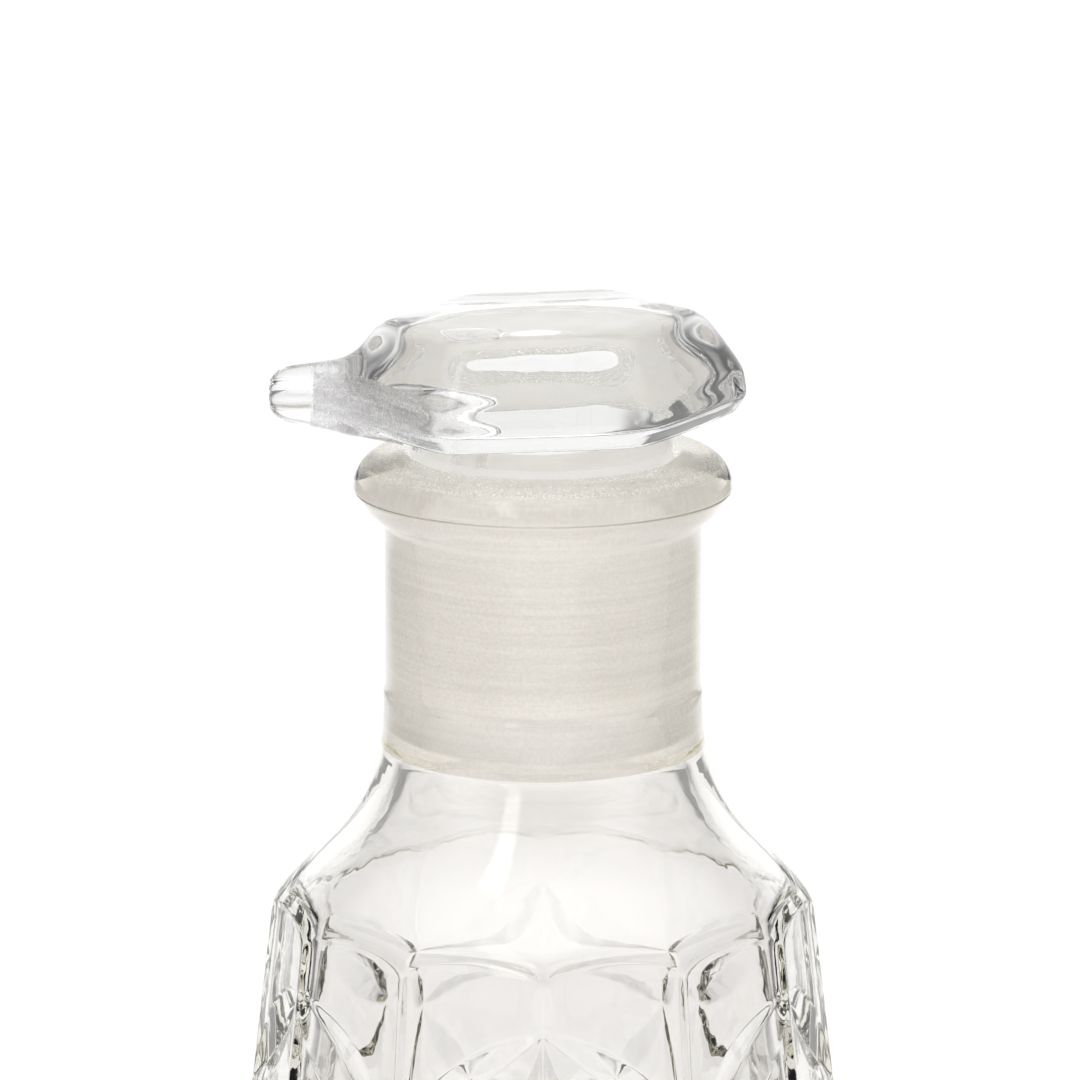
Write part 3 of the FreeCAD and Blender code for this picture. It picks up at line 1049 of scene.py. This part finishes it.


# ---------------------------------------------------------------- studio

# Each span is (from, to, value before, value after). The floor's, which paint shade onto it, are in
# metres from the object.
FLOOR_FOOT_SHADE = (0.07, 0.17, 0.72, 0.85)
FLOOR_SIDE_SHADE_WIDENING = (0.0, 3.0, 0.0, 0.42)
FLOOR_SIDE_SHADE = (0.10, 0.25, 1.0, 0.20)
FLOOR_HALF = 3000.0

# The world's spans are along one component of the direction: X right, Y away, Z up.
BEHIND_CAMERA_Y = (-0.92, -0.6, 0.06, 1.0)
FRONT_OF_SIDES_Y = (-0.4, -0.2, 1.0, 0.16)
BEHIND_OBJECT_Y = (0.6, 0.82, 0.0, 0.95)
ABOVE_Z = (0.45, 0.75, 0.0, 1.05)
OVERHEAD_Z = (0.7, 0.95, 0.0, 1.1)
LAMP_LEFT_X = (-0.46, -0.40, 0.0, 2.0)
LAMP_RIGHT_X = (-0.30, -0.24, 1.0, 0.0)
LAMP_FRONT_Y = (-0.4, -0.3, 1.0, 0.0)
LAMP_FOOT_Z = (0.15, 0.25, 0.0, 1.0)


def floor_material():
    """A pale sweep with painted shade: a touch greyer round the object's foot, and darkening far to
    either side.
    """
    material = bpy.data.materials.new("pale_table")
    material.use_nodes = True
    tree = material.node_tree
    surface = tree.nodes["Principled BSDF"]
    surface.inputs["Roughness"].default_value = 0.9
    place = tree.nodes.new("ShaderNodeTexCoord")
    length = tree.nodes.new("ShaderNodeVectorMath")
    length.operation = "LENGTH"
    tree.links.new(place.outputs["Object"], length.inputs[0])
    # Painted shade round the object's foot.
    tone = smooth_range(tree, length.outputs["Value"], FLOOR_FOOT_SHADE)
    split = tree.nodes.new("ShaderNodeSeparateXYZ")
    tree.links.new(place.outputs["Object"], split.inputs[0])
    aside = linked_math(tree, "ABSOLUTE", split.outputs["X"])
    # Painted shade that darkens the floor far to either side, over a wider band further back.
    widening = linked_range(tree, split.outputs["Y"], *FLOOR_SIDE_SHADE_WIDENING)
    past = linked_math(tree, "SUBTRACT", aside, widening)
    shade = linked_math(tree, "MULTIPLY", tone, smooth_range(tree, past, FLOOR_SIDE_SHADE))
    tree.links.new(shade, surface.inputs["Base Color"])
    return material


def build_floor():
    half = FLOOR_HALF
    corners = np.array([[-half, -half, 0], [half, -half, 0], [half, half, 0], [-half, half, 0]])
    floor = new_mesh_object("pale_floor", corners, [(0, 1, 2, 3)])
    floor.data.materials.append(floor_material())


def build_world():
    """A studio: bright behind the object and above it, dim behind the camera, one strip lamp."""
    world = bpy.data.worlds.new("studio")
    bpy.context.scene.world = world
    world.use_nodes = True
    tree = world.node_tree
    tree.nodes.clear()
    out = tree.nodes.new("ShaderNodeOutputWorld")
    place = tree.nodes.new("ShaderNodeTexCoord")
    split = tree.nodes.new("ShaderNodeSeparateXYZ")
    tree.links.new(place.outputs["Generated"], split.inputs[0])
    x, y, z = split.outputs
    front = smooth_range(tree, y, BEHIND_CAMERA_Y)
    sides = linked_math(
        tree, "ADD", smooth_range(tree, y, FRONT_OF_SIDES_Y), smooth_range(tree, y, BEHIND_OBJECT_Y)
    )
    around = linked_math(tree, "MULTIPLY", front, sides)
    ceiling = linked_math(tree, "MAXIMUM", around, smooth_range(tree, z, ABOVE_Z))
    room = linked_math(tree, "ADD", ceiling, smooth_range(tree, z, OVERHEAD_Z))
    lamp_width = linked_math(
        tree, "MULTIPLY", smooth_range(tree, x, LAMP_LEFT_X), smooth_range(tree, x, LAMP_RIGHT_X)
    )
    lamp_height = linked_math(
        tree, "MULTIPLY", smooth_range(tree, y, LAMP_FRONT_Y), smooth_range(tree, z, LAMP_FOOT_Z)
    )
    lamp = linked_math(tree, "MULTIPLY", lamp_width, lamp_height)
    light = node(tree, "ShaderNodeBackground", Color=(1, 1, 1, 1))
    tree.links.new(linked_math(tree, "ADD", room, lamp), light.inputs["Strength"])
    tree.links.new(light.outputs[0], out.inputs[0])


def build_camera():
    """The viewpoint: from the front and a little above, with a long lens, close on the neck."""
    distance = 0.415
    pitch = math.radians(12.7)
    aim = Vector((-0.00024, 0, (LIP_TOP - 7.4) * MM))
    data = bpy.data.cameras.new("camera")
    data.lens = 170.0
    data.sensor_width = 36.0
    data.clip_start = 0.02
    camera = bpy.data.objects.new("camera", data)
    camera.location = aim + distance * Vector((0, -math.cos(pitch), math.sin(pitch)))
    camera.rotation_euler = (math.pi / 2 - pitch, 0, 0)
    bpy.context.scene.collection.objects.link(camera)
    bpy.context.scene.camera = camera


def set_light_paths():
    """Plain colours, and enough bounces for light to pass several walls of glass."""
    scene = bpy.context.scene
    scene.view_settings.view_transform = "Standard"
    scene.cycles.max_bounces = 24
    scene.cycles.transmission_bounces = 20
    scene.cycles.glossy_bounces = 8
    scene.cycles.diffuse_bounces = 16
    scene.cycles.transparent_max_bounces = 24


def place_piece(piece, material, body):
    """Gives a piece its glass and lets it ride its body, in place of the CAD node of that name."""
    piece.data.materials.append(material)
    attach(piece, body)
    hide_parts(body)


place_piece(build_bottle(), bottle_material(), "bottle")
place_piece(build_stopper(), stopper_material(), "stopper")
build_floor()
build_world()
build_camera()
set_light_paths()
